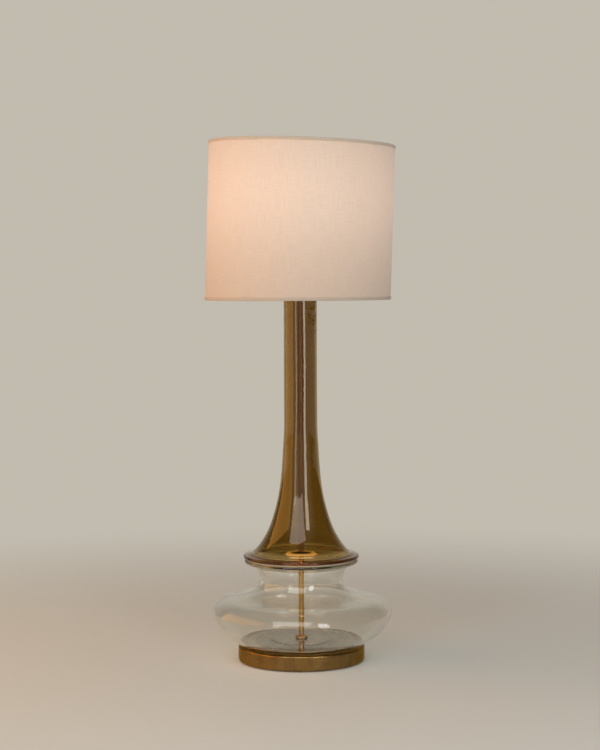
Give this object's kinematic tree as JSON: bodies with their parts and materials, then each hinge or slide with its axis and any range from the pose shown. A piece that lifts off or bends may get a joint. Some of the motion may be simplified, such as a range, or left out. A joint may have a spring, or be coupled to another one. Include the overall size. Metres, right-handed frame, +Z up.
{
  "type": "table lamp",
  "caption": "Tall table lamp: brown glass trumpet on a clear glass bowl and brass base, with a linen drum shade.",
  "frame": {"origin": "on the lamp's axis, at the height of the surface it stands on", "axes": "+Z up the axis, -Y towards the front, +X to the right seen from the front"},
  "size_m": [0.3609, 0.352, 0.9843],
  "materials": {
    "green_felt": "pressed felt",
    "satin_brass": "brushed, lacquered, slightly aged",
    "tube_brass": "drawn, aged",
    "grey_iron": "as cast",
    "zinc_steel": "zinc plated",
    "black_plastic": "moulded",
    "dark_rubber": "moulded",
    "clear_silicone": "translucent",
    "clear_glass": "blown, clear",
    "brown_glass": "blown, smoky brown",
    "porcelain": "unglazed",
    "contact_brass": "stamped",
    "solder": "dull",
    "nickel": "nickel plated",
    "opal_glass": "frosted inside",
    "stem_glass": "clear",
    "light_strip": "phosphor coated",
    "white_wire": "powder coated",
    "linen": "plain linen weave on a stiff backing",
    "linen_binding": "folded linen tape"
  },
  "bodies": {
    "lamp": {"felt_pad": "green_felt", "base_cover": "satin_brass", "base_weight": "grey_iron", "inlet_bush": "black_plastic", "base_washer": "zinc_steel", "base_lock_washer": "zinc_steel", "base_nut": "zinc_steel", "centre_tube": "tube_brass", "bowl_pad": "clear_silicone", "glass_bowl": "clear_glass", "bowl_inner_washer": "dark_rubber", "bowl_ring_nut": "tube_brass", "rim_gasket": "clear_silicone", "trumpet_glass": "brown_glass", "foot_bush": "dark_rubber", "cap_gasket": "dark_rubber", "neck_cap": "satin_brass", "top_nut": "tube_brass", "holder_cup": "black_plastic", "holder_grub_screw": "zinc_steel", "holder_insert": "porcelain", "terminal_screws": "contact_brass", "centre_contact": "contact_brass", "side_contact": "contact_brass", "holder_skirt": "black_plastic", "seat_ring": "black_plastic"},
    "shade": {"shade_carrier": "white_wire", "shade_panel": "linen", "bottom_trim": "linen_binding", "top_ring": "white_wire", "top_trim": "linen_binding"},
    "clamp_ring": {"clamp_ring": "black_plastic"},
    "bulb_foot": {"bulb_contact": "solder"},
    "bulb": {"bulb_insulator": "black_plastic", "bulb_cap": "nickel", "bulb_globe": "opal_glass", "bulb_stem": "stem_glass", "bulb_filaments": "light_strip"}
  },
  "joints": [
    {"name": "shade_turn", "type": "hinge", "parent": "lamp", "child": "shade", "pos_m": [0, 0, 0.8106], "axis": [0, 0, 1], "continuous": true},
    {"name": "clamp_ring_turn", "type": "hinge", "parent": "lamp", "child": "clamp_ring", "pos_m": [0, 0, 0.8142], "axis": [0, 0, 1], "range_deg": [0, 720]},
    {"name": "bulb_rise", "type": "slide", "parent": "lamp", "child": "bulb_foot", "axis": [0, 0, 1], "range_m": [0, 0.0146]},
    {"name": "bulb_turn", "type": "hinge", "parent": "bulb_foot", "child": "bulb", "pos_m": [0, 0, 0.82], "axis": [0, 0, 1], "range_deg": [0, 1440]}
  ],
  "couplings": [
    {"joint": "bulb_rise", "follows": "bulb_turn", "m_per_rad": 0.00057296}
  ]
}
